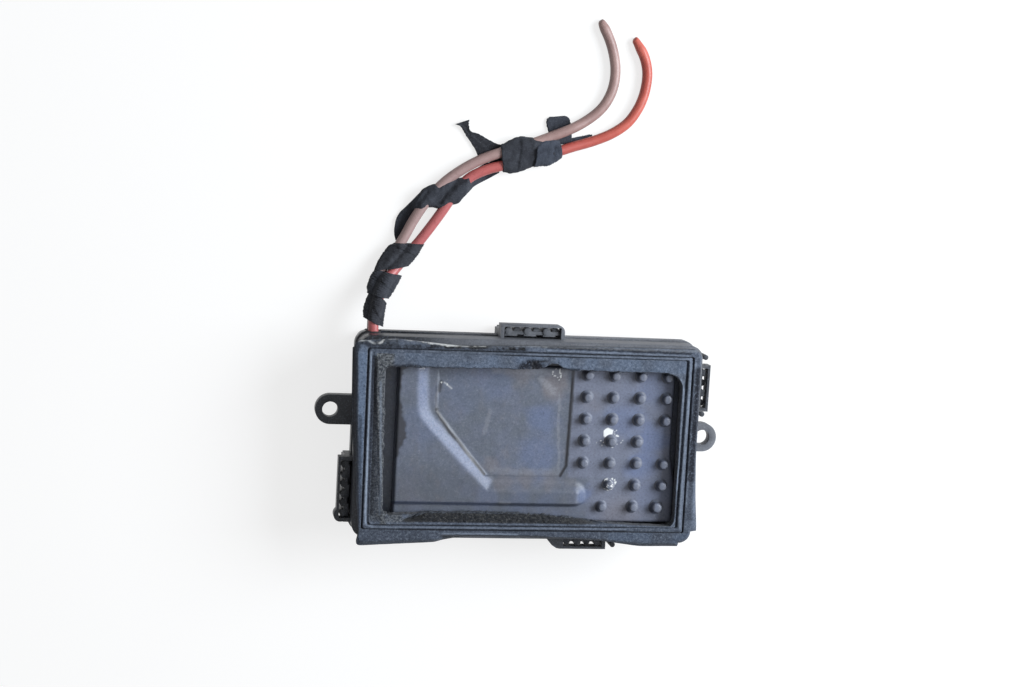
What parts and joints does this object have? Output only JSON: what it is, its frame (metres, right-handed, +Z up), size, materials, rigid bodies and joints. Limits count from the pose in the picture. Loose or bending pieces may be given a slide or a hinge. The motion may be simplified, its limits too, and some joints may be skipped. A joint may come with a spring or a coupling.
{
  "type": "blower motor resistor",
  "caption": "Electronic speed regulator of a car heater blower: clipped plastic case, cast heat sink in a foam-ringed window, control socket and two cut supply wires in cloth tape.",
  "frame": {"origin": "under the middle of the case, on the surface that the rear cover's ribs rest on", "axes": "+X along the case's length towards the ear with the pin field beside it, +Y across the case towards the wires' exit, +Z up through the heat sink and the gasket's sealing face"},
  "size_m": [0.1478, 0.1912, 0.03],
  "materials": {
    "housing_plastic": "moulded, fine-grained, slightly worn",
    "cover_plastic": "moulded, satin",
    "gasket_foam": "open-cell foam with pressed grooves",
    "heat_sink_coat": "thin dark coating on cast aluminium, satin",
    "screw_steel": "zinc plated",
    "board_laminate": "solder resist over glass laminate",
    "moulded_package": "moulded resin with tinned metal tab and leads",
    "thermal_pad": "smooth silicone sheet",
    "spring_steel": "rolled strip",
    "can_sleeve": "shrunk sleeve over an aluminium can",
    "ferrite": "sintered, coated",
    "enamelled_copper": "enamelled",
    "red_epoxy": "dipped resin",
    "shunt_alloy": "rolled strip",
    "chip_ceramic": "fired ceramic",
    "tinned_brass": "tinned",
    "socket_plastic": "moulded",
    "grommet_rubber": "soft moulded",
    "red_insulation": "extruded",
    "brown_insulation": "extruded",
    "cloth_tape": "fleece tape, wound"
  },
  "bodies": {
    "root": {"main_housing": "housing_plastic", "rear_cover": "cover_plastic", "foam_gasket": "gasket_foam", "heat_sink": "heat_sink_coat", "heat_sink_screws": "screw_steel", "circuit_board": "board_laminate", "board_screws": "screw_steel", "power_transistor_left": "moulded_package", "power_transistor_right": "moulded_package", "freewheel_diode": "moulded_package", "thermal_pads": "thermal_pad", "clamp_spring": "spring_steel", "clamp_screws": "screw_steel", "capacitor_upper": "can_sleeve", "capacitor_lower": "can_sleeve", "choke_core": "ferrite", "choke_winding": "enamelled_copper", "film_capacitor": "red_epoxy", "shunt_resistor": "shunt_alloy", "control_chip": "moulded_package", "surface_parts": "chip_ceramic", "supply_terminal": "tinned_brass", "ground_terminal": "tinned_brass", "control_socket": "socket_plastic", "motor_blades": "tinned_brass", "signal_pins": "tinned_brass", "wire_grommet": "grommet_rubber", "red_wire": "red_insulation", "brown_wire": "brown_insulation", "tape_lower": "cloth_tape", "tape_middle": "cloth_tape", "tape_knot": "cloth_tape", "tape_tail": "cloth_tape", "tape_loop": "cloth_tape"}
  },
  "joints": []
}
